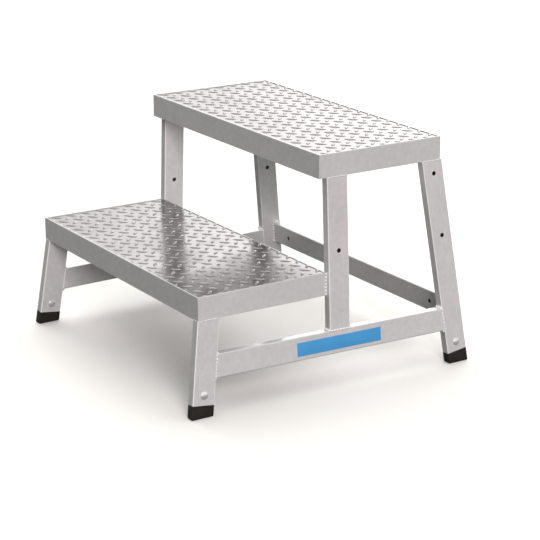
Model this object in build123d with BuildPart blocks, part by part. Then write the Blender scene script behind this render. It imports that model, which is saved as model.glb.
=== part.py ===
from build123d import *
import os
from math import radians, tan

# Two-step work platform: a welded frame of rectangular aluminium tube with two checker-plate treads.
# Millimetres and degrees, +Z up. The origin is on the ground under the middle of the frame.
# -Y is the side that is climbed from, and the right-hand pieces are on the +X side.

# Treads
TREAD_WIDTH = 680.0
TREAD_DEPTH = 306.0
STEP_RISE = 250.0
RIM_HEIGHT = 50.0
RIM_FLANGE = 20.0
RIM_WALL = 3.0
RIM_ROUND = 1.5
PLATE_THICKNESS = 3.0
STIFFENER_HEIGHT = 40.0
STIFFENER_SPACING = 227.0

# Raised bars of the checker plate: two crossed sets on one square lattice
BAR_PITCH = 36.8
BAR_LENGTH = 26.0
BAR_WIDTH = 8.0
BAR_HEIGHT = 1.5
BAR_FLANK = 45.0
BAR_COLUMNS = 19
BAR_ROWS = 8
UPPER_BAR_SHIFT = (1.0, -2.0)
LOWER_BAR_SHIFT = (5.0, -2.0)

# Frame tube, one section for every leg, post and rail
TUBE_FACE = 50.0
TUBE_EDGE = 20.0
TUBE_WALL = 2.0
TUBE_CORNER = 1.5

# Stance: every leg leans out to its side and splays to the front or the rear
LEG_LEAN = 4.7
LEG_SPLAY = 7.5
REAR_LEG_STAND_OFF = 5.0
SIDE_RAIL_MIDDLE = 102.0
CROSS_RAIL_MIDDLE = 117.0

# Holes for accessories, by height or by distance from the rail's end
HOLE_DIAMETER = 9.0
REAR_LEG_HOLES = (422.0, 287.0)
POST_HOLE = 295.0
CROSS_RAIL_HOLE_INSET = 66.0

# Feet
FOOT_HEIGHT = 27.0
FOOT_CORNER = 1.5
FOOT_SOLE = 2.5
PLUG_DEPTH = 40.0
PLUG_CLEARANCE = 0.2

# Spare length that is cut off again where two tubes meet
SPARE = 60.0

# Heights and depths worked out from the driving dimensions
lean = tan(radians(LEG_LEAN))
splay = tan(radians(LEG_SPLAY))
lower_top = STEP_RISE
upper_top = 2 * STEP_RISE
lower_base = lower_top - RIM_HEIGHT
upper_base = upper_top - RIM_HEIGHT
half_width = TREAD_WIDTH / 2
front_reach = TREAD_DEPTH + splay * lower_base
rear_reach = TREAD_DEPTH - TUBE_EDGE + REAR_LEG_STAND_OFF + splay * upper_base
post_front = (front_reach - rear_reach) / 2
lower_front = post_front - TREAD_DEPTH
upper_front = post_front - TUBE_EDGE
upper_rear = upper_front + TREAD_DEPTH

os.makedirs("parts", exist_ok=True)


def save(piece, node):
    """Labels a finished piece and writes its STEP file."""
    piece.part.label = node
    export_step(piece.part, f"parts/{node}.step")


def save_pair(piece, name):
    """Writes a right-hand piece and its mirror image on the left."""
    save(piece, f"{name}_right")
    with BuildPart() as twin:
        mirror(piece.part, about=Plane.YZ)
    save(twin, f"{name}_left")


# Frames of the right-hand tubes: origin in the middle of the outer face, x outwards, z along the tube


def leg_frame(edge_y, top, heading):
    """Leg that starts under the tread's side at edge_y and splays to the heading, -1 front or 1 rear."""
    edge = Plane((half_width, edge_y, top), x_dir=(1, 0, lean), z_dir=(-lean, -heading * splay, 1))
    middle = edge.from_local_coords((0, -heading * TUBE_FACE / 2, 0))
    return Plane(middle, x_dir=edge.x_dir, z_dir=edge.z_dir)


def at_height(frame, z):
    """The same frame moved along its tube to height z."""
    return frame.offset((z - frame.origin.Z) / frame.z_dir.Z)


def face_point(frame, across, z):
    """Point of a tube's outer face at height z, across from the middle line."""
    along = (z - frame.origin.Z - across * frame.y_dir.Z) / frame.z_dir.Z
    return frame.from_local_coords((0, across, along))


front_leg = leg_frame(lower_front, lower_base, -1)
rear_leg = leg_frame(upper_rear + REAR_LEG_STAND_OFF, upper_base, 1)

# The side rail joins the facing edges of the two legs, so it toes out to the rear
rail_front = face_point(front_leg, TUBE_FACE / 2, SIDE_RAIL_MIDDLE)
rail_rear = face_point(rear_leg, -TUBE_FACE / 2, SIDE_RAIL_MIDDLE)
side_rail = Plane((rail_front + rail_rear) / 2, x_dir=front_leg.x_dir, z_dir=rail_rear - rail_front)
rail_top = Plane(side_rail.from_local_coords((0, -TUBE_FACE / 2, 0)), z_dir=-side_rail.y_dir)

# The post leans just enough to be flush with the tread above and with the rail below
post_middle = post_front + TUBE_FACE / 2
rail_share = (post_middle - side_rail.origin.Y) / side_rail.z_dir.Y
post_foot = side_rail.from_local_coords((0, -TUBE_FACE / 2, rail_share))
post_lean = (post_foot.X - half_width) / (upper_base - post_foot.Z)
post = Plane((half_width, post_middle, upper_base), x_dir=(1, 0, post_lean), z_dir=(-post_lean, 0, 1))

# The cross rail follows the slope of the rear legs, flush with their rear faces
cross_y = rear_leg.from_local_coords((-TUBE_EDGE / 2, TUBE_FACE / 2, 0)).Y
cross_y += splay * (upper_base - CROSS_RAIL_MIDDLE)
cross_rail = Plane((0, cross_y, CROSS_RAIL_MIDDLE), x_dir=(0, 1, splay), z_dir=(1, 0, 0))
leg_inside = Plane(rear_leg.from_local_coords((-TUBE_EDGE, 0, 0)), z_dir=rear_leg.x_dir)


def tube_section(plane):
    """Hollow tube section, its outer face centred on the plane's origin."""
    with BuildSketch(plane) as section:
        with Locations((-TUBE_EDGE / 2, 0)):
            Rectangle(TUBE_EDGE, TUBE_FACE)
            chamfer(section.vertices(), TUBE_CORNER)
            Rectangle(TUBE_EDGE - 2 * TUBE_WALL, TUBE_FACE - 2 * TUBE_WALL, mode=Mode.SUBTRACT)
    return section.sketch


def through_hole(plane):
    """Accessory hole through a whole tube, square to its outer face at the plane's origin."""
    with BuildSketch(Plane(plane.origin, z_dir=plane.x_dir)) as mouth:
        Circle(HOLE_DIAMETER / 2)
    extrude(mouth.sketch, amount=TUBE_EDGE + TUBE_WALL, both=True, mode=Mode.SUBTRACT)


# Tread rims: angle section mitred at the corners, wall outside and flange inwards at the bottom


def rim(node, plane, length):
    """One side of a rim. The plane lies across it on the top edge, x inwards and y up."""
    with BuildPart() as piece:
        with BuildSketch(plane):
            Rectangle(RIM_WALL, RIM_HEIGHT, align=(Align.MIN, Align.MAX))
            with Locations((0, -RIM_HEIGHT)):
                Rectangle(RIM_FLANGE, RIM_WALL, align=(Align.MIN, Align.MIN))
        extrude(amount=length / 2, both=True)
        wall = piece.faces().sort_by(Axis(plane.origin, plane.x_dir))[0]
        fillet(wall.edges().sort_by(Axis.Z)[-1], RIM_ROUND)
        for end in (plane.z_dir, -plane.z_dir):
            mitre = Plane(plane.origin + end * (length / 2), z_dir=end + plane.x_dir)
            split(bisect_by=mitre, keep=Keep.BOTTOM)
    save(piece, node)


def tread_rims(tread, front, top):
    """The four rims round one tread."""
    middle = front + TREAD_DEPTH / 2
    rear = front + TREAD_DEPTH
    across_front = Plane((0, front, top), x_dir=(0, 1, 0), z_dir=(1, 0, 0))
    across_rear = Plane((0, rear, top), x_dir=(0, -1, 0), z_dir=(-1, 0, 0))
    across_right = Plane((half_width, middle, top), x_dir=(-1, 0, 0), z_dir=(0, 1, 0))
    across_left = Plane((-half_width, middle, top), x_dir=(1, 0, 0), z_dir=(0, -1, 0))
    rim(f"{tread}_front_rim", across_front, TREAD_WIDTH)
    rim(f"{tread}_rear_rim", across_rear, TREAD_WIDTH)
    rim(f"{tread}_right_rim", across_right, TREAD_DEPTH)
    rim(f"{tread}_left_rim", across_left, TREAD_DEPTH)


def tread_plate(tread, front, top, shift):
    """Checker plate let into the rims: its bars reach the rim's height and are cut off at the edges."""
    surface = Plane((0, front + TREAD_DEPTH / 2, top - BAR_HEIGHT))
    underside = surface.offset(-PLATE_THICKNESS)
    bar_outline = [(BAR_LENGTH / 2, 0), (0, BAR_WIDTH / 2), (-BAR_LENGTH / 2, 0), (0, -BAR_WIDTH / 2)]
    with BuildPart() as plate:
        with BuildSketch(underside):
            Rectangle(TREAD_WIDTH + BAR_LENGTH, TREAD_DEPTH + BAR_LENGTH)
        extrude(amount=PLATE_THICKNESS)
        with BuildSketch(surface):
            with Locations(shift):
                with GridLocations(BAR_PITCH, BAR_PITCH, BAR_COLUMNS, BAR_ROWS):
                    Polygon(*bar_outline, rotation=45)
                with GridLocations(BAR_PITCH, BAR_PITCH, BAR_COLUMNS - 1, BAR_ROWS + 1):
                    Polygon(*bar_outline, rotation=-45)
        extrude(amount=BAR_HEIGHT, taper=BAR_FLANK)
        with BuildSketch(underside):
            Rectangle(TREAD_WIDTH - 2 * RIM_WALL, TREAD_DEPTH - 2 * RIM_WALL)
        extrude(amount=PLATE_THICKNESS + BAR_HEIGHT, mode=Mode.INTERSECT)
    save(plate, f"{tread}_tread_plate")


def tread_stiffener(tread, front, top, side, x):
    """Tube under the plate, from the front rim's wall to the rear rim's wall."""
    ceiling = top - BAR_HEIGHT - PLATE_THICKNESS
    with BuildPart() as stiffener:
        with BuildSketch(Plane((x, front + RIM_WALL, ceiling), x_dir=(1, 0, 0), z_dir=(0, 1, 0))):
            with Locations((0, STIFFENER_HEIGHT / 2)):
                Rectangle(TUBE_EDGE, STIFFENER_HEIGHT)
                Rectangle(TUBE_EDGE - 2 * TUBE_WALL, STIFFENER_HEIGHT - 2 * TUBE_WALL, mode=Mode.SUBTRACT)
        extrude(amount=TREAD_DEPTH - 2 * RIM_WALL)
    save(stiffener, f"{tread}_stiffener_{side}")


treads = (
    ("upper", upper_front, upper_top, UPPER_BAR_SHIFT),
    ("lower", lower_front, lower_top, LOWER_BAR_SHIFT),
)
for tread, front, top, shift in treads:
    tread_rims(tread, front, top)
    tread_plate(tread, front, top, shift)
    for side, x in (("right", STIFFENER_SPACING / 2), ("left", -STIFFENER_SPACING / 2)):
        tread_stiffener(tread, front, top, side, x)

# Legs, cut level under the treads and square above the feet
legs = (
    ("front", front_leg, lower_base, ()),
    ("rear", rear_leg, upper_base, REAR_LEG_HOLES),
)
for name, frame, top, holes in legs:
    foot_plane = at_height(frame, FOOT_HEIGHT)
    with BuildPart() as leg:
        extrude(tube_section(foot_plane), amount=(top - FOOT_HEIGHT) / frame.z_dir.Z + SPARE)
        split(bisect_by=Plane.XY.offset(top), keep=Keep.BOTTOM)
        for height in holes:
            through_hole(at_height(frame, height))
    save_pair(leg, f"{name}_leg")

    # Foot: a pad flush with the tube, cut level on the ground, and a plug up inside the tube
    with BuildPart() as foot:
        with BuildSketch(foot_plane) as pad:
            with Locations((-TUBE_EDGE / 2, 0)):
                Rectangle(TUBE_EDGE, TUBE_FACE)
            chamfer(pad.vertices(), FOOT_CORNER)
        extrude(amount=-FOOT_HEIGHT - SPARE)
        split(bisect_by=Plane.XY, keep=Keep.TOP)
        chamfer(foot.faces().sort_by(Axis.Z)[0].edges(), FOOT_SOLE)
        with BuildSketch(foot_plane):
            with Locations((-TUBE_EDGE / 2, 0)):
                plug_gap = 2 * TUBE_WALL + 2 * PLUG_CLEARANCE
                Rectangle(TUBE_EDGE - plug_gap, TUBE_FACE - plug_gap)
        extrude(amount=PLUG_DEPTH)
    save_pair(foot, f"{name}_foot")

# Side rails, trimmed by the facing sides of the legs
with BuildPart() as rail:
    extrude(tube_section(side_rail), amount=(rail_rear - rail_front).length / 2 + SPARE, both=True)
    split(bisect_by=Plane(rail_front, z_dir=front_leg.y_dir), keep=Keep.TOP)
    split(bisect_by=Plane(rail_rear, z_dir=rear_leg.y_dir), keep=Keep.BOTTOM)
save_pair(rail, "side_rail")

# Posts, from the side rail to the underside of the upper tread
with BuildPart() as post_tube:
    extrude(tube_section(at_height(post, SIDE_RAIL_MIDDLE)), amount=upper_top - SIDE_RAIL_MIDDLE)
    split(bisect_by=rail_top, keep=Keep.TOP)
    split(bisect_by=Plane.XY.offset(upper_base), keep=Keep.BOTTOM)
    through_hole(at_height(post, POST_HOLE))
save_pair(post_tube, "post")

# Cross rail between the inner faces of the rear legs
rail_end = leg_inside.origin.X + lean * (leg_inside.origin.Z - CROSS_RAIL_MIDDLE)
with BuildPart() as rear_cross_rail:
    extrude(tube_section(cross_rail), amount=rail_end + SPARE)
    split(bisect_by=leg_inside, keep=Keep.BOTTOM)
    hole_place = cross_rail.from_local_coords((0, 0, rail_end - CROSS_RAIL_HOLE_INSET))
    through_hole(Plane(hole_place, x_dir=cross_rail.x_dir, z_dir=cross_rail.z_dir))
    mirror(about=Plane.YZ)
save(rear_cross_rail, "rear_cross_rail")
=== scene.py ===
"""Looks of a two-step work platform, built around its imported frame. Metres, +Z up, climbed from -Y."""

from math import cos, pi, radians, sin, sqrt, tan

import bmesh
import bpy
import numpy as np
from bpy.props import FloatProperty, FloatVectorProperty, PointerProperty
from mathutils import Matrix, Vector


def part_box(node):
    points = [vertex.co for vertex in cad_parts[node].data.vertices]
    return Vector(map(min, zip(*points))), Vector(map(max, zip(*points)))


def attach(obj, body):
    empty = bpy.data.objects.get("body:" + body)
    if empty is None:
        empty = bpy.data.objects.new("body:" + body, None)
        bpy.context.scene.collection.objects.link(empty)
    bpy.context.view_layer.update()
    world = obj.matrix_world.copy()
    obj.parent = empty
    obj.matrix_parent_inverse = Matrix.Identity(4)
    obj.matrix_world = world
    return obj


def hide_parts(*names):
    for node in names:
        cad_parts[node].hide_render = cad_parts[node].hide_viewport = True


bl_info = {
    "name": "Two-step work platform",
    "version": (1, 0, 0),
    "blender": (4, 5, 0),
    "location": "3D View > Sidebar > Platform",
    "description": "Treads, welds, feet and finishes of a welded two-step work platform",
    "category": "Object",
}

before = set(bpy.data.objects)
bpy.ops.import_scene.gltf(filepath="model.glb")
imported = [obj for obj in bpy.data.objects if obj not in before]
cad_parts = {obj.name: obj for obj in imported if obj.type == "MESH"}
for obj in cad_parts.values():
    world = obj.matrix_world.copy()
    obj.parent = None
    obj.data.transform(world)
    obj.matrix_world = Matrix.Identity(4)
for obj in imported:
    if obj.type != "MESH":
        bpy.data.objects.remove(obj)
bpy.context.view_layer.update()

MM = 0.001
BODY = "root"
SIDES = ("right", "left")
DOWN = np.array([0.0, 0.0, -1.0])

# Points closer together than this are one point
MERGED = 1e-6

# Points of a weld bead: along each ripple, along the shortest bead, and across
RIPPLE_POINTS = 10
FEWEST_POINTS = 20
ARCH_POINTS = 9

# Middle part of the range of the drawn grain, in which most of its lines lie
MOST_LINES = (0.3, 0.7)

# The studio's directions: towards the camera, and to the right of the picture
NEAR_SIDE = (0.84, -0.54, 0.0)
RIGHT_SIDE = (0.6, 0.8, 0.0)

# Where the studio's walls, ceiling and ground fade into each other: ranges of a heading's part to the
# right, towards the camera or upwards
LEFT_TO_REAR = (-0.42, 0.195)
FAR_TO_FRONT = (-0.3, 0.3)
OTHERS_TO_RIGHT = (0.1, 0.4)
WALL_TO_CEILING = (0.5, 0.8)
LOWER_AT_RIGHT = 0.1
GROUND_TO_WALL = (-0.16, 0.02)
REAR_TO_OTHER_GROUND = (-0.9, -0.6)
WHITE_TO_TINTED = (-0.8, -0.4)


# Settings

def length(name, millimetres, description):
    """A size in metres, written in millimetres."""
    return FloatProperty(name=name, description=description, default=millimetres * MM, unit="LENGTH",
                         precision=5)


def angle(name, degrees, description):
    """An angle in radians, written in degrees."""
    return FloatProperty(name=name, description=description, default=radians(degrees), subtype="ANGLE")


def share(name, value, description):
    """A plain number from 0 to 1."""
    return FloatProperty(name=name, description=description, default=value, min=0.0, max=1.0,
                         subtype="FACTOR")


def number(name, value, description, unit="NONE"):
    """A number in a unit of its own."""
    return FloatProperty(name=name, description=description, default=value, unit=unit)


def numbers(name, values, description):
    """A row of plain numbers."""
    return FloatVectorProperty(name=name, description=description, default=values, size=len(values))


def colour(name, rgb, description):
    """A linear colour."""
    return FloatVectorProperty(name=name, description=description, default=rgb, size=3, subtype="COLOR",
                               min=0.0, max=1.0)


def place(name, millimetres, description):
    """A place or a row of sizes in metres, written in millimetres."""
    return FloatVectorProperty(name=name, description=description, size=len(millimetres),
                               default=[value * MM for value in millimetres], subtype="XYZ", unit="LENGTH")


class TreadSettings(bpy.types.PropertyGroup):
    """Checker plates and their raised bars."""

    pitch: length("Pitch", 36.8, "Distance between bars of one direction")
    bar_length: length("Bar length", 26.0, "Length of one raised bar")
    bar_width: length("Bar width", 8.4, "Width of one raised bar at its foot")
    bar_height: length("Bar height", 1.5, "Height of the bars above the plate")
    flank: length("Flank", 2.0, "Width of the flank round a bar")
    crown: length("Crown", 0.1, "How much higher a bar is in its middle than at its shoulders")
    sunk: length("Sunk", 0.3, "How far the bars reach down into the plate")
    clearance: length("Clearance", 0.05, "How far inside the plate's edge its bars are cut off")
    shortest: length("Shortest", 1.0, "Bars that reach less than this into the plate are left out")
    edge_round: length("Edge round", 0.4, "Round along the plate's upper edge")
    upper_shift: place("Upper shift", (1.0, 16.4), "Shift of the upper plate's bars")
    lower_shift: place("Lower shift", (5.0, 16.4), "Shift of the lower plate's bars")


class TubeSettings(bpy.types.PropertyGroup):
    """Section and stance of the frame's tubes, as they were cut."""

    face: length("Face", 50.0, "Wide side of the tube")
    edge: length("Edge", 20.0, "Narrow side of the tube")
    wall: length("Wall", 2.0, "Thickness of the tube's wall")
    lean: angle("Lean", 4.7, "Lean of the legs to the side")
    splay: angle("Splay", 7.5, "Splay of the legs to the front or the rear")
    stand_off: length("Stand-off", 5.0, "How far the rear legs start behind the upper tread")
    rail_height: length("Side rail height", 102.0, "Height of the side rails' middle line")
    cross_height: length("Cross rail height", 117.0, "Height of the cross rail's middle line")
    hole: length("Hole", 9.0, "Diameter of the holes")
    rear_holes: place("Rear leg holes", (422.0, 287.0), "Heights of the holes in the rear legs")
    post_hole: length("Post hole", 295.0, "Height of the hole in the posts")
    cross_inset: length("Cross rail inset", 66.0, "Distance of the holes from the cross rail's ends")


class WeldSettings(bpy.types.PropertyGroup):
    """Weld beads."""

    width: length("Width", 4.4, "Width of a bead on flush faces")
    leg: length("Leg", 4.2, "Reach of a bead along both faces of a corner")
    crown: length("Crown", 2.2, "Height of a bead above its toes")
    small: share("Small", 0.6, "Size of the beads at the tops of the legs and up the lower tread's corners")
    ripple: length("Ripple", 7.2, "Distance from ripple to ripple")
    depth: share("Depth", 0.95, "Depth of the ripples as a share of the crown")
    waist: share("Waist", 0.35, "Width between two ripples as a share of the bead's width")
    bow: share("Bow", 0.15, "How far the ripples are bowed, as a share of their length")
    gap: share("Gap", 0.02, "Share of a joint's side that is left free at each end")
    sunk: length("Sunk", 0.2, "How far the toes lie below the faces")


class FootSettings(bpy.types.PropertyGroup):
    """Moulded feet."""

    height: length("Height", 27.0, "Height of the pad under the tube")
    proud: length("Proud", 0.3, "How far the pad stands proud of the tube")
    corner: length("Corner", 2.8, "Radius of the pad's upright corners")
    least_corner: length("Least corner", 0.4, "Radius that the corners keep where the pad is rounded off")
    lip: length("Lip", 0.8, "Round of the pad's upper edge")
    sole: length("Sole", 3.2, "Round of the pad's lower edge")


class RivetSettings(bpy.types.PropertyGroup):
    """Domed rivets that hold the feet, with a head on both faces of the leg."""

    height: length("Height", 47.5, "Height of the rivets above the ground")
    head: length("Head", 17.0, "Diameter of a head")
    dome: length("Dome", 3.6, "Height of a head")
    sunk: length("Sunk", 0.6, "How far a head reaches down into the tube")


class LabelSettings(bpy.types.PropertyGroup):
    """Plain sticker on the right side rail."""

    size: place("Size", (205.0, 29.5), "Length and height of the sticker")
    along: length("Along", 13.0, "Place of its middle along Y")
    drop: length("Drop", 1.5, "How far its middle lies below the rail's middle line")
    corner: length("Corner", 1.0, "Corner radius")
    thickness: length("Thickness", 0.25, "Thickness of the film")


class FinishSettings(bpy.types.PropertyGroup):
    """Colours and gloss of the finishes."""

    tube: colour("Tube", (0.63, 0.622, 0.615), "Mill-finish aluminium of the tubes and rims")
    tube_roughness: share("Tube roughness", 0.42, "Roughness of the tubes and rims")
    tube_metal: share("Tube metal", 0.12, "How far the tubes shine as bare metal and not as oxide")
    # Painted highlight: the corners of the legs and posts are painted lighter, as if lit
    corner_highlight: share("Corner highlight", 0.86, "Grey of the corners of the legs and posts, painted bright as a highlight")
    # Painted shade: the tubes' insides and bores are painted dark, as if unlit
    painted_inside_shade: share("Tube inside shade", 0.09, "Grey of the tubes' insides and bores")
    # Painted shade: the rims' upward faces are painted darker, against the light from above
    rim_top_shade: share("Rim top shade", 0.38, "Grey of the rims' upper edges, darkened as painted shade")
    plate: colour("Plate", (0.45, 0.434, 0.426), "Bright rolled plate")
    plate_roughness: share("Plate roughness", 0.17, "Roughness of the plate")
    weld: colour("Weld", (0.82, 0.81, 0.80), "Weld metal")
    rivet: colour("Rivet", (0.84, 0.83, 0.82), "Bright rivet heads")
    rubber: colour("Rubber", (0.017, 0.0145, 0.0115), "Black of the feet")
    label: colour("Label", (0.063, 0.298, 0.59), "Blue of the sticker")


class StageSettings(bpy.types.PropertyGroup):
    """Camera, light and floor."""

    camera_place: place("Camera", (3277.9, -2031.5, 1394.2), "Place of the camera")
    camera_azimuth: angle("Azimuth", 57.311, "Heading of the camera round the object")
    camera_tilt: angle("Tilt", 17.718, "How far the camera looks down")
    lens: number("Lens", 121.74, "Focal length in millimetres", "CAMERA")
    lighting: numbers("Lighting", (0.07, 0.07, 0.45, 0.2, 0.8),
                      "Light from the front, left, rear and right walls and the ceiling")
    gleam: numbers("Gleam", (1.05, 0.7, 3.95, 0.8, 0.9), "What metal mirrors of the same walls and ceiling")
    ground: numbers("Ground", (0.08, 1.7), "Brightness from below, all round and at the rear")
    wall_tint: colour("Wall tint", (0.9, 1.0, 0.9), "Colour of the light from all walls but the rear one")
    key: number("Key", 2.65, "Strength of the light from the right")
    key_heading: numbers("Key heading", (0.88, -0.35, 0.385), "The way towards the light from the right")
    key_spread: angle("Key spread", 25, "Angle that the light from the right fills")
    key_tint: colour("Key tint", (1.0, 0.912, 0.945), "Colour of the light from the right")
    top: number("Top", 1.3, "Strength of the light from above")
    top_heading: numbers("Top heading", (-0.3, 0.45, 1.0), "The way towards the light from above")
    top_spread: angle("Top spread", 110, "Angle that the light from above fills")
    low: number("Low", 1.55, "Strength of the light from behind")
    low_heading: numbers("Low heading", (-0.72, 0.32, 0.66), "The way towards the light from behind")
    low_spread: angle("Low spread", 60, "Angle that the light from behind fills")
    underside: number("Underside", 1.35, "Power of the floor's light under the upper tread", "POWER")
    underside_cover: numbers("Underside cover", (0.9, 0.8), "Share of the tread's sides that it covers")
    floor: colour("Floor", (0.84, 0.81, 0.796), "Colour of the floor")
    floor_reach: length("Floor reach", 40000.0, "How far the floor goes to each side")


class PlatformSettings(bpy.types.PropertyGroup):
    """All settings of the platform."""

    tread: PointerProperty(type=TreadSettings)
    tube: PointerProperty(type=TubeSettings)
    weld: PointerProperty(type=WeldSettings)
    foot: PointerProperty(type=FootSettings)
    rivet: PointerProperty(type=RivetSettings)
    label: PointerProperty(type=LabelSettings)
    finish: PointerProperty(type=FinishSettings)
    stage: PointerProperty(type=StageSettings)


# Meshes

def ring_faces(rings, count):
    """Quads between closed rings of points that are stored ring by ring."""
    here = np.arange(rings * count).reshape(rings, count)
    there = np.roll(here, -1, axis=1)
    return np.stack([here[:-1], there[:-1], there[1:], here[1:]], axis=-1).reshape(-1, 4)


def rounded_outline(width, height, radius, steps=6):
    """Outline of a rounded rectangle: four quarter circles of radius about the corners' centres."""
    quarter = np.repeat(np.arange(4), steps + 1)
    turn = (quarter + np.tile(np.linspace(0, 1, steps + 1), 4)) * pi / 2
    side_x = np.array([1, -1, -1, 1])[quarter]
    side_y = np.array([1, 1, -1, -1])[quarter]
    x = side_x * (width / 2 - radius) + radius * np.cos(turn)
    y = side_y * (height / 2 - radius) + radius * np.sin(turn)
    return np.stack([x, y], axis=-1)


def stack_rings(rings):
    """Closed surface through rings of equal count, the first above, with a flat cap at both ends."""
    count = len(rings[0])
    points = np.concatenate(rings)
    faces = ring_faces(len(rings), count)[:, ::-1].tolist()
    first = list(range(count))
    last = [corner + count * (len(rings) - 1) for corner in first]
    return points, faces + [first, last[::-1]]


def join_surfaces(surfaces):
    """Joins pairs of points and faces into one pair."""
    all_points, all_faces = zip(*surfaces)
    starts = np.cumsum([0] + [len(points) for points in all_points])
    faces = [[corner + start for corner in face]
             for faces, start in zip(all_faces, starts) for face in faces]
    return np.concatenate(all_points), faces


def both_sides(surfaces):
    """The surfaces and their mirror images on the left, turned the right way out."""
    flip = np.array([-1.0, 1.0, 1.0])
    return surfaces + [(points * flip, [face[::-1] for face in faces]) for points, faces in surfaces]


def new_object(name, data):
    """A new object in the scene."""
    item = bpy.data.objects.new(name, data)
    bpy.context.scene.collection.objects.link(item)
    return item


def new_piece(name, points, faces, material, sharp=40.0):
    """Makes a piece from points and the corners of its faces, smooth but for edges over sharp degrees."""
    mesh = bpy.data.meshes.new(name)
    mesh.from_pydata(np.asarray(points).tolist(), [], [list(face) for face in faces])
    work = bmesh.new()
    work.from_mesh(mesh)
    bmesh.ops.remove_doubles(work, verts=work.verts, dist=MERGED)
    work.to_mesh(mesh)
    work.free()
    mesh.shade_smooth()
    mesh.set_sharp_from_angle(angle=radians(sharp))
    mesh.materials.append(material)
    piece = new_object(name, mesh)
    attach(piece, BODY)
    return piece


# Places of the tubes

def unit(vector):
    """The vector at length 1."""
    return np.asarray(vector, float) / np.linalg.norm(vector)


class Tube:
    """Axes of a right-hand tube: origin in the middle of its outer face, x outwards, z along the tube."""

    def __init__(self, origin, outwards, along):
        self.origin = np.asarray(origin, float)
        self.z = unit(along)
        self.x = unit(outwards - self.z * np.dot(outwards, self.z))
        self.y = np.cross(self.z, self.x)

    def point(self, x, y, z=0.0):
        """The point at x, y and z along the tube's own axes."""
        return self.origin + x * self.x + y * self.y + z * self.z

    def until(self, x, y, base, normal):
        """Where the tube's line at (x, y) meets the plane through base that has that normal."""
        start = self.point(x, y)
        return start + self.z * np.dot(np.asarray(base) - start, normal) / np.dot(self.z, normal)

    def level(self, x, y, height):
        """Where the tube's line at (x, y) has that height."""
        return self.until(x, y, (0, 0, height), (0, 0, 1))


def tubes(settings):
    """The right-hand tubes and where they end, worked out from the stance and the treads' boxes."""
    lower_front, upper_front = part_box("lower_front_rim"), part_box("upper_front_rim")
    lower_rear, upper_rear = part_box("lower_rear_rim"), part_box("upper_rear_rim")
    half_width = upper_front[1].x
    lower_base, upper_base = lower_front[0].z, upper_front[0].z
    lean, splay = tan(settings.lean), tan(settings.splay)

    def leg(edge_y, top, heading):
        edge = Tube((half_width, edge_y, top), (1, 0, lean), (-lean, -heading * splay, 1))
        return Tube(edge.point(0, -heading * settings.face / 2), edge.x, edge.z)

    front = leg(lower_front[0].y, lower_base, -1)
    rear = leg(upper_rear[1].y + settings.stand_off, upper_base, 1)

    rail_front = front.level(0, settings.face / 2, settings.rail_height)
    rail_rear = rear.level(0, -settings.face / 2, settings.rail_height)
    rail = Tube((rail_front + rail_rear) / 2, front.x, rail_rear - rail_front)

    post_y = lower_rear[1].y + settings.face / 2
    post_foot = rail.point(0, -settings.face / 2, (post_y - rail.origin[1]) / rail.z[1])
    post_lean = (post_foot[0] - half_width) / (upper_base - post_foot[2])
    post = Tube((half_width, post_y, upper_base), (1, 0, post_lean), (-post_lean, 0, 1))

    cross_y = rear.point(-settings.edge / 2, settings.face / 2)[1]
    cross_y += splay * (upper_base - settings.cross_height)
    cross = Tube((0, cross_y, settings.cross_height), (0, 1, splay), (1, 0, 0))
    return {"front": front, "rear": rear, "rail": rail, "post": post, "cross": cross,
            "rail_ends": (rail_front, rail_rear), "lower_base": lower_base, "upper_base": upper_base}


def section(tube):
    """Corners of the tube's section in its own coordinates: outer side first, then round by the rear."""
    half = tube.face / 2
    return [(0, -half), (0, half), (-tube.edge, half), (-tube.edge, -half)]


def tube_hollows(tube, foot):
    """Hollows and bores of the right-hand tubes that have holes, all a little wider than they were cut, for
    the painted shade inside them.

    A hollow has a middle, axes and half sizes, and a bore a point, an axis and a radius.
    """
    part = tubes(tube)
    rear, post, cross, top = (part[name] for name in ("rear", "post", "cross", "upper_base"))
    slack, headroom = 0.3 * MM, 3.0 * MM
    width, depth = (size / 2 - tube.wall + slack for size in (tube.face, tube.edge))
    hollows = []
    for upright, base in ((rear, foot.height), (post, tube.rail_height + tube.face / 2)):
        low, high = (upright.level(-tube.edge / 2, 0, height) for height in (base + headroom, top))
        half_length = np.linalg.norm(high - low) / 2
        hollows.append(((low + high) / 2, (upright.x, upright.y, upright.z), (depth, width, half_length)))
    inner = rear.point(-tube.edge, 0)
    reach = inner[0] + tan(tube.lean) * (inner[2] - tube.cross_height)
    hollows.append((cross.point(-tube.edge / 2, 0), (cross.x, cross.y, cross.z), (depth, width, reach)))
    radius = tube.hole / 2 + slack
    bores = [(rear.level(0, 0, height), rear.x, radius) for height in tube.rear_holes]
    bores.append((post.level(0, 0, tube.post_hole), post.x, radius))
    bores.append((cross.point(0, 0, reach - tube.cross_inset), cross.x, radius))
    return hollows, bores


# Checker plates

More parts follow.
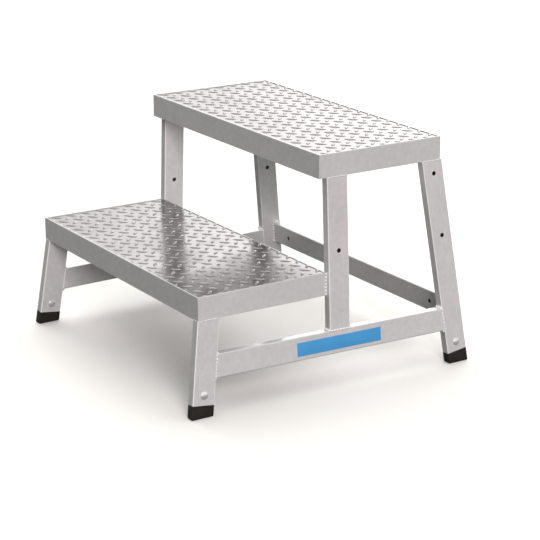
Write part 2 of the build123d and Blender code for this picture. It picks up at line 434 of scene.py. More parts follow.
def bar_surface(settings, stations=7, steps=4):
    """One raised bar at the origin, along X: rings of points across it, stacked from tip to tip.

    With t from -1 to 1 along the bar, its foot is a lens of half-width W = (1 - t^2) width / 2. A point
    that lies e inside the foot has (1 - cos(pi e / flank)) / 2 of the height, up to the shoulder at
    e = flank, and a slight crown above it. Each ring closes below the plate, and the tips are sharp.
    """
    t = np.sin(np.linspace(-pi / 2, pi / 2, stations))[:, None]
    half = settings.bar_width / 2 * (1 - t ** 2)
    inset = np.minimum(np.linspace(0, 1, steps) * settings.flank, half)
    side = half - inset
    across = np.concatenate([side, 0 * half, -side[:, ::-1], -half, half], axis=1)
    rise = np.clip((half - np.abs(across)) / settings.flank, 0, 1)
    bow = (1 - (across / np.maximum(half, MERGED)) ** 2) * (1 - t ** 2)
    height = (settings.bar_height - settings.crown) * (1 - np.cos(pi * rise)) / 2 + settings.crown * bow
    height[:, -2:] = -settings.sunk
    along = np.broadcast_to(t * settings.bar_length / 2, across.shape)
    return np.stack([along, across, height], axis=-1)


def bar_places(half, settings, shift):
    """Middles of the bars that reach into the plate, and the direction of each as a unit vector.

    The bars stand on the cells of a checkerboard that is turned by 45 degrees, along its first axis in
    even cells and along its second in odd ones.
    """
    cell = settings.pitch / sqrt(2)
    reach = int((half.x + half.y) / cell) + 1
    column, row = np.meshgrid(np.arange(-reach, reach + 1), np.arange(-reach, reach + 1))
    x = (column - row) * cell / sqrt(2) + shift[0]
    y = (column + row) * cell / sqrt(2) + shift[1]
    spread = settings.bar_length / 2 / sqrt(2) - settings.shortest
    inside = (np.abs(x) < half.x + spread) & (np.abs(y) < half.y + spread)
    even = ((column + row) % 2 == 0)[inside]
    direction = np.stack([np.where(even, 1, -1), np.ones(len(even))], axis=-1) / sqrt(2)
    return np.stack([x[inside], y[inside]], axis=-1), direction


def cut_off(points, faces, low, high):
    """Cuts closed surfaces off at the upright sides of a box, and closes the cuts."""
    mesh = bpy.data.meshes.new("uncut")
    mesh.from_pydata(points.tolist(), [], faces.tolist())
    work = bmesh.new()
    work.from_mesh(mesh)
    bpy.data.meshes.remove(mesh)
    bmesh.ops.remove_doubles(work, verts=work.verts, dist=MERGED)
    for corner, normal in ((low, (-1, 0, 0)), (low, (0, -1, 0)), (high, (1, 0, 0)), (high, (0, 1, 0))):
        everything = [*work.verts, *work.edges, *work.faces]
        cut = bmesh.ops.bisect_plane(work, geom=everything, plane_co=corner, plane_no=normal,
                                     clear_outer=True)
        rims = [item for item in cut["geom_cut"] if isinstance(item, bmesh.types.BMEdge)]
        bmesh.ops.holes_fill(work, edges=rims)
    work.verts.index_update()
    points = np.array([vert.co for vert in work.verts])
    faces = [[vert.index for vert in face.verts] for face in work.faces]
    work.free()
    return points, faces


def plate_surface(node, settings, shift):
    """Checker plate: a sheet with a round along its upper edge, and bars that are cut off at its edges.

    Every bar is the same one, turned by its direction and carried to its place.
    """
    low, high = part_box(node)
    middle, half = (low + high) / 2, (high - low) / 2
    top, edge = high.z - settings.bar_height, settings.edge_round

    def ring(inset, z):
        points = rounded_outline(2 * (half.x - inset), 2 * (half.y - inset), edge, steps=2)
        return np.column_stack([points + (middle.x, middle.y), np.full(len(points), z)])

    # Inset and depth of each ring, in radii of the round
    rings = [ring(edge * inset, top - edge * depth)
             for inset, depth in ((4, 0), (1, 0), (0.3, 0.3), (0, 1))]
    sheet = stack_rings(rings + [ring(0, low.z)])

    bar = bar_surface(settings)
    places, direction = bar_places(half, settings, shift)
    along, across = bar[..., 0].ravel(), bar[..., 1].ravel()
    x = places[:, :1] + along * direction[:, :1] - across * direction[:, 1:]
    y = places[:, 1:] + along * direction[:, 1:] + across * direction[:, :1]
    z = np.broadcast_to(bar[..., 2].ravel() + top, x.shape)
    points = np.stack([x + middle.x, y + middle.y, z], axis=-1).reshape(-1, 3)
    faces = ring_faces(*bar.shape[:2])
    faces = (np.arange(len(places))[:, None, None] * along.size + faces).reshape(-1, 4)
    inside = Vector((settings.clearance, settings.clearance, 0))
    return join_surfaces([sheet, cut_off(points, faces, low + inside, high - inside)])


# Welds

def bead(start, end, normals, settings, size=1.0):
    """Weld bead from start to end, on the seam of flush faces or in the corner between two faces.

    Along s and across by a from 0 to 1, the point lies on the chord from toe to toe plus an arch of
    4 a (1 - a) crowns outwards. Crown and chord swell with the absolute sine of s, bowed a little by the
    arch, so that the bead is a row of drops. The root closes the section below, and both ends are round.
    """
    span = np.linalg.norm(end - start)
    along = (end - start) / span
    outwards = sum(unit(normal - along * np.dot(normal, along)) for normal in normals)
    if len(normals) == 1:
        aside = np.cross(outwards, along) * settings.width / 2 * size
        first, second = (toe - outwards * settings.sunk for toe in (aside, -aside))
    else:
        first, second = (settings.leg * size * one - settings.sunk * other
                         for one, other in (normals[::-1], normals))
    outwards = unit(outwards)
    if np.dot(np.cross(second - first, outwards), along) > 0:
        first, second = second, first
    s = np.linspace(0, span, max(int(span / settings.ripple * RIPPLE_POINTS), FEWEST_POINTS))[:, None, None]
    a = np.linspace(0, 1, ARCH_POINTS)[None, :, None]
    arch = 4 * a * (1 - a)
    swell = 1 - settings.depth * (1 - np.abs(np.sin(pi * (s / settings.ripple + settings.bow * arch))))
    near_end = np.clip(np.minimum(s, span - s) / (settings.width / 2), 0, 1)
    close = np.sqrt(1 - (1 - near_end) ** 2)
    line = start + along * s
    chord = (first * (1 - a) + second * a) * (settings.waist + (1 - settings.waist) * swell)
    face = line + close * (chord + outwards * settings.crown * size * arch * swell)
    root = line - outwards * settings.sunk * close
    points = np.concatenate([face, root], axis=1)
    faces = ring_faces(*points.shape[:2])
    return points.reshape(-1, 3), faces.tolist()


def seam(corners, normals, settings, size=1.0):
    """Beads along the sides of a joint's outline, each shortened a little at its ends."""
    beads = []
    for start, end, own in zip(corners, corners[1:] + corners[:1], normals):
        gap = (end - start) * settings.gap
        beads.append(bead(start + gap, end - gap, own, settings, size))
    return beads


def leg_top_beads(part, tube, weld):
    """Beads where the legs and posts meet the treads; the front legs stand flush with the tread's front."""
    beads = []
    for name, base in (("front", "lower_base"), ("rear", "upper_base"), ("post", "upper_base")):
        leg = part[name]
        corners = [leg.level(x, y, part[base]) for x, y in section(tube)]
        front_side = (-leg.y,) if name == "front" else (-leg.y, DOWN)
        beads += seam(corners, [(leg.x,), (leg.y, DOWN), (-leg.x, DOWN), front_side], weld, weld.small)
    return beads


def side_rail_beads(part, tube, weld):
    """Beads round both ends of the side rail, where it meets the legs."""
    rail, beads = part["rail"], []
    for name, base, heading in zip(("front", "rear"), part["rail_ends"], (1, -1)):
        leg = part[name]
        corners = [rail.until(x, y, base, leg.y) for x, y in section(tube)]
        facing = heading * leg.y
        beads += seam(corners, [(rail.x,), (rail.y, facing), (-rail.x,), (-rail.y, facing)], weld)
    return beads


def post_foot_beads(part, tube, weld):
    """Beads round the foot of the post, on the side rail."""
    rail, post = part["rail"], part["post"]
    rail_top = rail.point(0, -tube.face / 2)
    corners = [post.until(x, y, rail_top, rail.y) for x, y in section(tube)]
    return seam(corners, [(post.x,), (post.y, -rail.y), (-post.x,), (-post.y, -rail.y)], weld)


def cross_rail_beads(part, tube, weld):
    """Beads round the end of the cross rail, on the inner face of the rear leg."""
    rear, cross = part["rear"], part["cross"]
    inner = rear.point(-tube.edge, 0)
    corners = [cross.until(x, y, inner, rear.x) for x, y in section(tube)]
    facing = -rear.x
    return seam(corners, [(cross.x,), (cross.y, facing), (-cross.x, facing), (-cross.y, facing)], weld)


def tread_post_beads(weld):
    """Bead up the rear corner of the lower tread, where the post stands against it."""
    low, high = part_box("lower_right_rim")
    right, front = np.array([1.0, 0, 0]), np.array([0, -1.0, 0])
    start, end = (np.array([high.x, high.y, z]) for z in (low.z, high.z))
    return [bead(start, end, (right, front), weld, weld.small)]


# Feet, rivets and label

def foot_surface(leg, foot, tube, steps=7):
    """Pad under a leg: rounded rectangles across the leg, stacked from the lip down to the sole.

    With a from 0 to a right angle, a ring of the lip's or the sole's round is inset by 1 - cos a of the
    round, and lies 1 - sin a of it away from the pad's end. The lip is cut square to the leg, and the sole
    lies level on the ground.
    """
    turn = np.linspace(0, pi / 2, steps)

    def cut(inset):
        outline = rounded_outline(*(size + 2 * (foot.proud - inset) for size in (tube.edge, tube.face)),
                                  max(foot.corner - inset, foot.least_corner))
        x, y = outline[:, :1] - tube.edge / 2, outline[:, 1:]
        return leg.level(0, 0, foot.height) + x * leg.x + y * leg.y

    rings = [cut(foot.lip * (1 - cos(a))) - leg.z * foot.lip * (1 - sin(a)) / leg.z[2] for a in turn[::-1]]
    for a in turn:
        ring = cut(foot.sole * (1 - cos(a)))
        rings.append(ring - leg.z * (ring[:, 2:] - foot.sole * (1 - sin(a))) / leg.z[2])
    return stack_rings(rings)


def rivet_head(middle, outwards, across, along, settings, points=40, steps=12, flat=0.02):
    """Domed head: half of a flat ellipsoid, by its turn round and by b from its top to its edge.

    The top is a tiny flat, and the last ring is sunk in the tube.
    """
    turn = np.linspace(0, 2 * pi, points, endpoint=False)[:, None]
    circle = (np.cos(turn) * across + np.sin(turn) * along) * settings.head / 2
    rings = [middle + circle * np.sin(b) + outwards * settings.dome * np.cos(b)
             for b in np.linspace(flat, pi / 2, steps)]
    return stack_rings(rings + [rings[-1] - outwards * settings.sunk])


def label_surface(rail, label):
    """Sticker on the rail: rounded rectangles, stacked from its face over its soft edge into the rail."""
    middle = rail.point(0, label.drop, (label.along - rail.origin[1]) / rail.z[1])
    film = label.thickness
    rings = []
    # Inset and height of each ring, in thicknesses of the film
    for inset, height in ((1, 1), (1 / 3, 0.8), (0, 0.5), (0, -1)):
        outline = rounded_outline(*(size - 2 * inset * film for size in label.size), label.corner)
        rings.append(middle + height * film * rail.x + outline[:, :1] * rail.z - outline[:, 1:] * rail.y)
    return stack_rings(rings)


# Nodes

def add_node(tree, kind, inputs=None, **settings):
    """Adds a node, sets its properties and fills or links its inputs."""
    node = tree.nodes.new(kind)
    for name, value in settings.items():
        setattr(node, name, value)
    for key, value in (inputs or {}).items():
        if isinstance(value, bpy.types.NodeSocket):
            tree.links.new(value, node.inputs[key])
        else:
            node.inputs[key].default_value = value
    return node


def reckon(tree, operation, a, b=0.0):
    """Result of a Math node."""
    return add_node(tree, "ShaderNodeMath", {0: a, 1: b}, operation=operation).outputs[0]


def reckon_vector(tree, operation, a, b):
    """Results of a Vector Math node."""
    return add_node(tree, "ShaderNodeVectorMath", {0: a, 1: b}, operation=operation).outputs


def blend(tree, factor, a, b):
    """Number that goes from a to b by the factor."""
    return add_node(tree, "ShaderNodeMix", {0: factor, 2: a, 3: b}, data_type="FLOAT").outputs[0]


def blend_colours(tree, factor, a, b):
    """Colour that goes from a to b by the factor."""
    return add_node(tree, "ShaderNodeMix", {0: factor, 6: a, 7: b}, data_type="RGBA").outputs[2]


def ramp(tree, value, low, high, to_low=0.0, to_high=1.0):
    """Value carried smoothly from the range low to high into the range to_low to to_high."""
    inputs = {"Value": value, "From Min": low, "From Max": high, "To Min": to_low, "To Max": to_high}
    return add_node(tree, "ShaderNodeMapRange", inputs, interpolation_type="SMOOTHSTEP").outputs["Result"]


def noise(tree, vector, scale, detail=2.0, roughness=0.5):
    """Noise of about 0 to 1."""
    inputs = {"Vector": vector, "Scale": scale, "Detail": detail, "Roughness": roughness}
    return add_node(tree, "ShaderNodeTexNoise", inputs).outputs["Fac"]


def new_group(name, inputs, outputs):
    """Empty shader node group with outputs that are numbers; an input without a default is a vector."""
    tree = bpy.data.node_groups.new(name, "ShaderNodeTree")
    for socket, value in inputs.items():
        kind = "NodeSocketVector" if value is None else "NodeSocketFloat"
        item = tree.interface.new_socket(socket, in_out="INPUT", socket_type=kind)
        if value is not None:
            item.default_value = value
    for socket in outputs:
        tree.interface.new_socket(socket, in_out="OUTPUT", socket_type="NodeSocketFloat")
    return tree, add_node(tree, "NodeGroupInput").outputs, add_node(tree, "NodeGroupOutput").inputs


def drawn_grain():
    """Group: die lines of drawn metal, fine and coarse, stretched along the vector's first axis."""
    tree, given, out = new_group("Drawn grain", {"Vector": None, "Fineness": 900.0}, ["Lines"])
    stretch, coarseness, coarse_share = (0.012, 1.0, 1.0), 0.17, 0.4
    drawn = add_node(tree, "ShaderNodeMapping", {"Vector": given["Vector"], "Scale": stretch}).outputs[0]
    fine = noise(tree, drawn, given["Fineness"], detail=3.0, roughness=0.6)
    coarse = noise(tree, drawn, reckon(tree, "MULTIPLY", given["Fineness"], coarseness))
    tree.links.new(blend(tree, coarse_share, fine, coarse), out["Lines"])
    return tree


def handling_marks():
    """Group: soft blotches of handled metal, and a few thin scratches."""
    inputs = {"Vector": None, "Fineness": 14.0}
    tree, given, out = new_group("Handling marks", inputs, ["Blotches", "Scratches"])
    soft, rare = (0.35, 0.68), (0.70, 0.76)
    cloud = noise(tree, given["Vector"], given["Fineness"], detail=4.0, roughness=0.62)
    tree.links.new(ramp(tree, cloud, *soft), out["Blotches"])
    turned = {"Vector": given["Vector"], "Rotation": (0.4, 0.7, 0.9), "Scale": (3.0, 90.0, 90.0)}
    lines = noise(tree, add_node(tree, "ShaderNodeMapping", turned).outputs[0], scale=6.0, detail=1.0)
    tree.links.new(ramp(tree, lines, *rare), out["Scratches"])
    return tree


# Masks for the painted highlight on the upright tubes' corners and the painted shade on the rims' upward
# faces
def turned_faces():
    """Group: 1 on faces turned half way between two axes, as on corners, and 1 on faces turned upwards."""
    tree, given, out = new_group("Turned faces", {"Normal": None}, ["Corners", "Top"])
    upwards, along_an_axis = (0.2, 0.7), (0.8, 0.95)
    parts = add_node(tree, "ShaderNodeSeparateXYZ", {0: given["Normal"]}).outputs
    tree.links.new(ramp(tree, parts["Z"], *upwards), out["Top"])
    sizes = [reckon(tree, "ABSOLUTE", part) for part in parts]
    largest = reckon(tree, "MAXIMUM", reckon(tree, "MAXIMUM", sizes[0], sizes[1]), sizes[2])
    tree.links.new(ramp(tree, largest, *along_an_axis, 1.0, 0.0), out["Corners"])
    return tree


def painted_inside_shade(hollows, bores):
    """Group: 1 inside the hollow tubes and their bores, where shade is painted, and 0 elsewhere.

    The hollows and bores are those of the right, and the vector's X is taken without its sign, so that
    they hold on the left too.
    """
    tree, given, out = new_group("Tube inside shade", {"Vector": None}, ["Inside"])
    parts = add_node(tree, "ShaderNodeSeparateXYZ", {0: given["Vector"]}).outputs
    right = reckon(tree, "ABSOLUTE", parts[0])
    folded = add_node(tree, "ShaderNodeCombineXYZ", {0: right, 1: parts[1], 2: parts[2]}).outputs[0]
    found = []
    for middle, axes, half in hollows:
        offset = reckon_vector(tree, "SUBTRACT", folded, middle)[0]
        away = [reckon_vector(tree, "DOT_PRODUCT", offset, axis)["Value"] for axis in axes]
        near = [reckon(tree, "LESS_THAN", reckon(tree, "ABSOLUTE", distance), reach)
                for distance, reach in zip(away, half)]
        found.append(reckon(tree, "MULTIPLY", reckon(tree, "MULTIPLY", near[0], near[1]), near[2]))
    for point, axis, radius in bores:
        offset = reckon_vector(tree, "SUBTRACT", folded, point)[0]
        away = reckon_vector(tree, "CROSS_PRODUCT", offset, axis)[0]
        distance_squared = reckon_vector(tree, "DOT_PRODUCT", away, away)["Value"]
        found.append(reckon(tree, "LESS_THAN", distance_squared, radius ** 2))
    inside = found[0]
    for other in found[1:]:
        inside = reckon(tree, "MAXIMUM", inside, other)
    tree.links.new(inside, out["Inside"])
    return tree


def shared_groups():
    """The node groups that several finishes share, made once."""
    have = bpy.data.node_groups
    return {"grain": have.get("Drawn grain") or drawn_grain(),
            "marks": have.get("Handling marks") or handling_marks()}


# Finishes

class Finish:
    """A new material with its Principled shader, the piece's Object coordinates and the shared groups."""

    def __init__(self, name, groups):
        self.groups = groups
        self.material = bpy.data.materials.new(name)
        self.material.use_nodes = True
        self.tree = self.material.node_tree
        self.shader = self.tree.nodes["Principled BSDF"]
        self.object = add_node(self.tree, "ShaderNodeTexCoord").outputs["Object"]

    def set(self, **values):
        """Sets sockets of the shader to plain values."""
        for name, value in values.items():
            self.shader.inputs[name.replace("_", " ")].default_value = value

    def link(self, output, socket):
        """Links an output to a socket of the shader."""
        self.tree.links.new(output, self.shader.inputs[socket])

    def group(self, name, **inputs):
        """Outputs of a shared group that is placed with its own values."""
        return add_node(self.tree, "ShaderNodeGroup", inputs, node_tree=self.groups[name]).outputs

    def marks(self, fineness):
        """Outputs of the handling marks, with blotches of that fineness."""
        return self.group("marks", Vector=self.object, Fineness=fineness)

    def tint(self, rgb, value, dark, light):
        """Base colour that goes from dark to light times rgb as the value goes from 0 to 1."""
        darkest = (*[dark * c for c in rgb], 1)
        lightest = (*[min(light * c, 1) for c in rgb], 1)
        self.link(blend_colours(self.tree, value, darkest, lightest), "Base Color")

    def shade(self, mask, grey):
        """Turns the base colour into a grey where the mask is 1."""
        base = self.shader.inputs["Base Color"].links[0].from_socket
        self.link(blend_colours(self.tree, mask, base, (grey, grey, grey, 1)), "Base Color")

    def roughen(self, value, *more):
        """Roughness that is the sum of the values."""
        for other in more:
            value = reckon(self.tree, "ADD", value, other)
        self.link(value, "Roughness")

    def bump(self, height, strength, distance):
        """Bump from a height of 0 to 1, which stands for that distance in metres."""
        inputs = {"Height": height, "Strength": strength, "Distance": distance}
        self.link(add_node(self.tree, "ShaderNodeBump", inputs).outputs["Normal"], "Normal")


def blotched(name, groups, rgb, fineness, shades, roughness):
    """A finish with soft blotches, in which shade and roughness go from their first value to their last."""
    finish = Finish(name, groups)
    blotches = finish.marks(fineness)["Blotches"]
    finish.tint(rgb, blotches, *shades)
    finish.roughen(ramp(finish.tree, blotches, 0.0, 1.0, *roughness))
    return finish


def aluminium(name, settings, groups, axis, rim=False):
    """Mill-finish aluminium with its grain along an axis: 0 for X, 1 for Y, 2 for Z.

    The upright tubes also have a painted highlight on their corners, the rims a painted shade on their
    upper edges, and all a painted shade inside the tubes and their bores.
    """
    finish = Finish(name, groups)
    tree, rough = finish.tree, settings.tube_roughness
    line_roughness, blotch_roughness = (-0.05, 0.05), (rough + 0.05, rough - 0.03)
    turn = [(0, 0, 0), (0, 0, -pi / 2), (0, pi / 2, 0)][axis]
    along = add_node(tree, "ShaderNodeMapping", {"Vector": finish.object, "Rotation": turn}).outputs[0]
    lines = finish.group("grain", Vector=along, Fineness=700.0)["Lines"]
    broad, fine = (finish.marks(fineness)["Blotches"] for fineness in (11.0, 85.0))
    broad_share = 0.45
    finish.set(Metallic=settings.tube_metal, Coat_Weight=1.0, Coat_Roughness=0.14, Coat_IOR=1.6)
    finish.tint(settings.tube, blend(tree, broad_share, fine, broad), dark=0.925, light=1.06)
    normal = add_node(tree, "ShaderNodeNewGeometry").outputs["Normal"]
    turned = finish.group("turned", Normal=normal)
    # Painted shade on the rims' upward faces and upper edges
    if rim:
        finish.shade(turned["Top"], settings.rim_top_shade)
    # Painted highlight on the corners of the legs and posts, which also lose their metal there
    if axis == 2:
        finish.shade(turned["Corners"], settings.corner_highlight)
        finish.link(ramp(tree, turned["Corners"], 0.0, 1.0, settings.tube_metal, 0.0), "Metallic")
    # Painted shade inside the tubes and their bores
    finish.shade(finish.group("inside", Vector=finish.object)["Inside"], settings.painted_inside_shade)
    finish.roughen(ramp(tree, lines, *MOST_LINES, *line_roughness),
                   ramp(tree, broad, 0.0, 1.0, *blotch_roughness))
    finish.bump(lines, strength=0.12, distance=0.0004)
    return finish.material


def checker_plate(settings, groups):
    """Bright rolled plate: broad waves of the rolling, worn smooth in places, and scratched."""
    finish = Finish("checker plate", groups)
    tree, rough = finish.tree, settings.plate_roughness
    line_roughness, blotch_roughness = (-0.03, 0.03), (rough + 0.05, rough - 0.04)
    scratch_roughness = 0.12
    marks = finish.marks(fineness=9.0)
    lines = finish.group("grain", Vector=finish.object, Fineness=420.0)["Lines"]
    finish.set(Metallic=1.0, Specular_Tint=(0.6, 0.6, 0.6, 1))
    finish.tint(settings.plate, marks["Blotches"], dark=0.95, light=1.02)
    finish.roughen(ramp(tree, lines, *MOST_LINES, *line_roughness),
                   ramp(tree, marks["Blotches"], 0.0, 1.0, *blotch_roughness),
                   reckon(tree, "MULTIPLY", marks["Scratches"], scratch_roughness))
    finish.bump(noise(tree, finish.object, scale=22.0, detail=1.0), strength=0.08, distance=0.0008)
    return finish.material


def weld_metal(settings, groups):
    """Weld metal: brighter than the tube, frosted in places."""
    finish = blotched("weld metal", groups, settings.weld, fineness=180.0, shades=(0.9, 1.04),
                      roughness=(0.5, 0.34))
    finish.set(Metallic=0.1)
    return finish.material


def rivet_metal(settings, groups):
    """Bright rivet heads with fine marks."""
    finish = blotched("rivet metal", groups, settings.rivet, fineness=120.0, shades=(0.93, 1.05),
                      roughness=(0.26, 0.16))
    finish.set(Metallic=0.6)
    return finish.material


def foot_rubber(settings, groups):
    """Black moulded rubber with a fine erosion texture."""
    finish = blotched("foot rubber", groups, settings.rubber, fineness=60.0, shades=(0.85, 1.25),
                      roughness=(0.62, 0.5))
    finish.set(Specular_IOR_Level=0.3)
    finish.bump(noise(finish.tree, finish.object, scale=1800.0), strength=0.25, distance=0.0004)
    return finish.material


def label_film(settings, groups):
    """Blue vinyl film with a faint ripple in its gloss."""
    finish = blotched("label film", groups, settings.label, fineness=30.0, shades=(0.97, 1.03),
                      roughness=(0.42, 0.34))
    finish.bump(noise(finish.tree, finish.object, scale=160.0, detail=1.0), strength=0.1, distance=0.0003)
    return finish.material


# Operators

class PLATFORM_OT_frame(bpy.types.Operator):
    """Gives the tubes and rims their mill finish, with the grain along each of them, painted highlights on
    the upright corners and painted shade on the rims' tops and inside the tubes
    """

    bl_idname = "platform.frame"
    bl_label = "Finish frame"

    def execute(self, context):
        settings = context.scene.platform
        groups = {**shared_groups(), "turned": turned_faces(),
                  "inside": painted_inside_shade(*tube_hollows(settings.tube, settings.foot))}
        pieces = {("rim", 0): ("front_rim", "rear_rim"), ("rim", 1): ("right_rim", "left_rim"),
                  ("tube", 0): ("cross_rail",), ("tube", 1): ("side_rail", "stiffener"),
                  ("tube", 2): ("leg", "post")}
        for (kind, axis), parts in pieces.items():
            name = f"{kind} aluminium along {'XYZ'[axis]}"
            finish = aluminium(name, settings.finish, groups, axis, rim=kind == "rim")
            for node_name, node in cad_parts.items():
                if any(part in node_name for part in parts):
                    node.data.materials.clear()
                    node.data.materials.append(finish)
        return {"FINISHED"}


class PLATFORM_OT_treads(bpy.types.Operator):
    """Lays the two checker plates into their rims"""

    bl_idname = "platform.treads"
    bl_label = "Lay treads"

    def execute(self, context):
        settings = context.scene.platform
        material = checker_plate(settings.finish, shared_groups())
        for tread, shift in (("upper", settings.tread.upper_shift), ("lower", settings.tread.lower_shift)):
            node = f"{tread}_tread_plate"
            points, faces = plate_surface(node, settings.tread, shift)
            piece = new_piece(f"{tread}_checker_plate", points, faces, material)
            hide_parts(node)
        return {"FINISHED"}


class PLATFORM_OT_welds(bpy.types.Operator):
    """Runs the weld beads round the joints of the frame"""

    bl_idname = "platform.welds"
    bl_label = "Run welds"

    def execute(self, context):
        settings = context.scene.platform
        weld, tube = settings.weld, settings.tube
        part = tubes(tube)
        material = weld_metal(settings.finish, shared_groups())
        groups = {"leg_top_welds": leg_top_beads(part, tube, weld),
                  "side_rail_welds": side_rail_beads(part, tube, weld),
                  "post_foot_welds": post_foot_beads(part, tube, weld),
                  "cross_rail_welds": cross_rail_beads(part, tube, weld),
                  "tread_post_welds": tread_post_beads(weld)}
        for name, beads in groups.items():
            points, faces = join_surfaces(both_sides(beads))
            new_piece(name, points, faces, material, sharp=70.0)
        return {"FINISHED"}


class PLATFORM_OT_feet(bpy.types.Operator):
    """Fits the moulded feet under the legs"""

    bl_idname = "platform.feet"
    bl_label = "Fit feet"

    def execute(self, context):
        settings = context.scene.platform
        part = tubes(settings.tube)
        material = foot_rubber(settings.finish, shared_groups())
        for name in ("front", "rear"):
            pad = foot_surface(part[name], settings.foot, settings.tube)
            for side, (points, faces) in zip(SIDES, both_sides([pad])):
                piece = new_piece(f"{name}_foot_pad_{side}", points, faces, material,
                                  sharp=60.0)
                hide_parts(f"{name}_foot_{side}")
        return {"FINISHED"}


class PLATFORM_OT_rivets(bpy.types.Operator):
    """Sets the rivets that hold the feet"""

    bl_idname = "platform.rivets"
    bl_label = "Set rivets"

    def execute(self, context):
        settings = context.scene.platform
        rivet, edge = settings.rivet, settings.tube.edge
        part = tubes(settings.tube)
        heads = []
        for name in ("front", "rear"):
            leg = part[name]
            seat = leg.level(0, 0, rivet.height)
            heads.append(rivet_head(seat, leg.x, leg.y, leg.z, rivet))
            heads.append(rivet_head(seat - edge * leg.x, -leg.x, leg.z, leg.y, rivet))
        points, faces = join_surfaces(both_sides(heads))
        material = rivet_metal(settings.finish, shared_groups())
        new_piece("foot_rivets", points, faces, material)
        return {"FINISHED"}


class PLATFORM_OT_label(bpy.types.Operator):
    """Sticks the plain label on the right side rail"""

    bl_idname = "platform.label"
    bl_label = "Stick label"

    def execute(self, context):
        settings = context.scene.platform
        points, faces = label_surface(tubes(settings.tube)["rail"], settings.label)
        new_piece("side_rail_label", points, faces, label_film(settings.finish, shared_groups()))
        return {"FINISHED"}


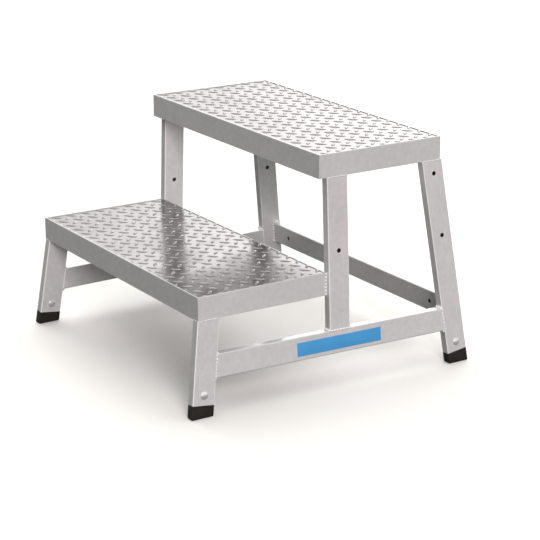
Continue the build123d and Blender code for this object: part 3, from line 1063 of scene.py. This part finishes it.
class PLATFORM_OT_stage(bpy.types.Operator):
    """Sets the floor, the light and the camera"""

    bl_idname = "platform.stage"
    bl_label = "Set stage"

    def execute(self, context):
        scene = context.scene
        stage = scene.platform.stage
        self.floor(stage)
        self.studio(scene, stage)
        self.lamps(stage)
        self.camera(scene, stage)
        scene.view_settings.view_transform = "Standard"
        return {"FINISHED"}

    def floor(self, stage):
        """A large pale floor that is seen and shaded, but sends no light back to the object."""
        material = bpy.data.materials.new("pale floor")
        material.use_nodes = True
        shader = material.node_tree.nodes["Principled BSDF"]
        shader.inputs["Base Color"].default_value = (*stage.floor, 1)
        shader.inputs["Roughness"].default_value = 1.0
        shader.inputs["Specular IOR Level"].default_value = 0.0
        reach = stage.floor_reach
        corners = [(-reach, -reach, 0), (reach, -reach, 0), (reach, reach, 0), (-reach, reach, 0)]
        mesh = bpy.data.meshes.new("floor")
        mesh.from_pydata(corners, [], [(0, 1, 2, 3)])
        mesh.materials.append(material)
        floor = new_object("floor", mesh)
        floor.visible_diffuse = False
        floor.visible_glossy = False
        floor.visible_shadow = False

    def studio(self, scene, stage):
        """Studio walls between a ceiling and a ground, with other levels where metal mirrors them."""
        world = bpy.data.worlds.new("studio")
        scene.world = world
        world.use_nodes = True
        tree = world.node_tree
        heading = add_node(tree, "ShaderNodeTexCoord").outputs["Generated"]
        right, near = (reckon_vector(tree, "DOT_PRODUCT", heading, side)["Value"]
                       for side in (RIGHT_SIDE, NEAR_SIDE))
        height = add_node(tree, "ShaderNodeSeparateXYZ", {0: heading}).outputs["Z"]
        lighting, gleam = (self.walls(tree, right, near, height, levels)
                           for levels in (stage.lighting, stage.gleam))
        glossy = add_node(tree, "ShaderNodeLightPath").outputs["Is Glossy Ray"]
        wall = blend(tree, glossy, lighting, gleam)
        all_round, at_rear = stage.ground
        ground = ramp(tree, near, *REAR_TO_OTHER_GROUND, at_rear, all_round)
        light = blend(tree, ramp(tree, height, *GROUND_TO_WALL), ground, wall)
        tinted = reckon(tree, "SUBTRACT", ramp(tree, near, *WHITE_TO_TINTED), glossy)
        tint = blend_colours(tree, tinted, (1, 1, 1, 1), (*stage.wall_tint, 1))
        background = tree.nodes["Background"].inputs
        tree.links.new(light, background["Strength"])
        tree.links.new(tint, background["Color"])

    def walls(self, tree, right, near, height, levels):
        """Brightness of the walls all round, each fading into the next, and of the ceiling above them."""
        front_wall, left_wall, rear_wall, right_wall, ceiling = levels
        far = ramp(tree, right, *LEFT_TO_REAR, left_wall, rear_wall)
        others = blend(tree, ramp(tree, near, *FAR_TO_FRONT), far, front_wall)
        at_right = ramp(tree, right, *OTHERS_TO_RIGHT)
        wall = blend(tree, at_right, others, right_wall)
        raised = reckon(tree, "ADD", height, reckon(tree, "MULTIPLY", at_right, LOWER_AT_RIGHT))
        return blend(tree, ramp(tree, raised, *WALL_TO_CEILING), wall, ceiling)

    def lamps(self, stage):
        """Broad lights from the right, above and behind, and the floor's light under the upper tread."""
        self.sun("key light", stage.key, stage.key_heading, stage.key_spread, stage.key_tint)
        self.sun("top light", stage.top, stage.top_heading, stage.top_spread)
        self.sun("low light", stage.low, stage.low_heading, stage.low_spread)
        low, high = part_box("upper_tread_plate")
        cover = stage.underside_cover
        glow = bpy.data.lights.new("underside light", "AREA")
        glow.shape = "RECTANGLE"
        glow.size = cover[0] * (high.x - low.x)
        glow.size_y = cover[1] * (high.y - low.y)
        glow.energy = stage.underside
        light = new_object("underside light", glow)
        light.location = ((low.x + high.x) / 2, (low.y + high.y) / 2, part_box("upper_front_rim")[0].z)
        light.rotation_euler = (pi, 0, 0)
        light.visible_camera = False

    def sun(self, name, strength, heading, spread, tint=(1.0, 1.0, 1.0)):
        """A light from afar that fills an angle of the sky, and that metal doesn't mirror."""
        lamp = bpy.data.lights.new(name, "SUN")
        lamp.energy = strength
        lamp.color = tint
        lamp.angle = spread
        light = new_object(name, lamp)
        light.rotation_euler = Vector(heading).to_track_quat("Z", "Y").to_euler()
        light.visible_camera = False
        light.visible_glossy = False

    def camera(self, scene, stage):
        """The camera at the photograph's place."""
        lens = bpy.data.cameras.new("camera")
        lens.lens = stage.lens
        camera = new_object("camera", lens)
        turn, tilt = stage.camera_azimuth, stage.camera_tilt
        heading = Vector((-sin(turn) * cos(tilt), cos(turn) * cos(tilt), -sin(tilt)))
        spot = heading.to_track_quat("-Z", "Y").to_matrix().to_4x4()
        camera.matrix_world = Matrix.Translation(stage.camera_place) @ spot
        scene.camera = camera


OPERATORS = (PLATFORM_OT_frame, PLATFORM_OT_treads, PLATFORM_OT_welds, PLATFORM_OT_feet, PLATFORM_OT_rivets,
             PLATFORM_OT_label, PLATFORM_OT_stage)


class PLATFORM_PT_panel(bpy.types.Panel):
    """Sidebar panel with one button for each group of pieces"""

    bl_idname = "PLATFORM_PT_panel"
    bl_label = "Platform"
    bl_space_type = "VIEW_3D"
    bl_region_type = "UI"
    bl_category = "Platform"

    def draw(self, context):
        for operator in OPERATORS:
            self.layout.operator(operator.bl_idname)


CLASSES = (TreadSettings, TubeSettings, WeldSettings, FootSettings, RivetSettings, LabelSettings,
           FinishSettings, StageSettings, PlatformSettings, *OPERATORS, PLATFORM_PT_panel)


def register():
    """Registers the classes and the scene's settings."""
    for cls in CLASSES:
        bpy.utils.register_class(cls)
    bpy.types.Scene.platform = PointerProperty(type=PlatformSettings)


def unregister():
    """Removes the classes and the scene's settings."""
    del bpy.types.Scene.platform
    for cls in reversed(CLASSES):
        bpy.utils.unregister_class(cls)


def main():
    register()
    bpy.ops.platform.frame()
    bpy.ops.platform.treads()
    bpy.ops.platform.welds()
    bpy.ops.platform.feet()
    bpy.ops.platform.rivets()
    bpy.ops.platform.label()
    bpy.ops.platform.stage()


if __name__ == "__main__":
    main()
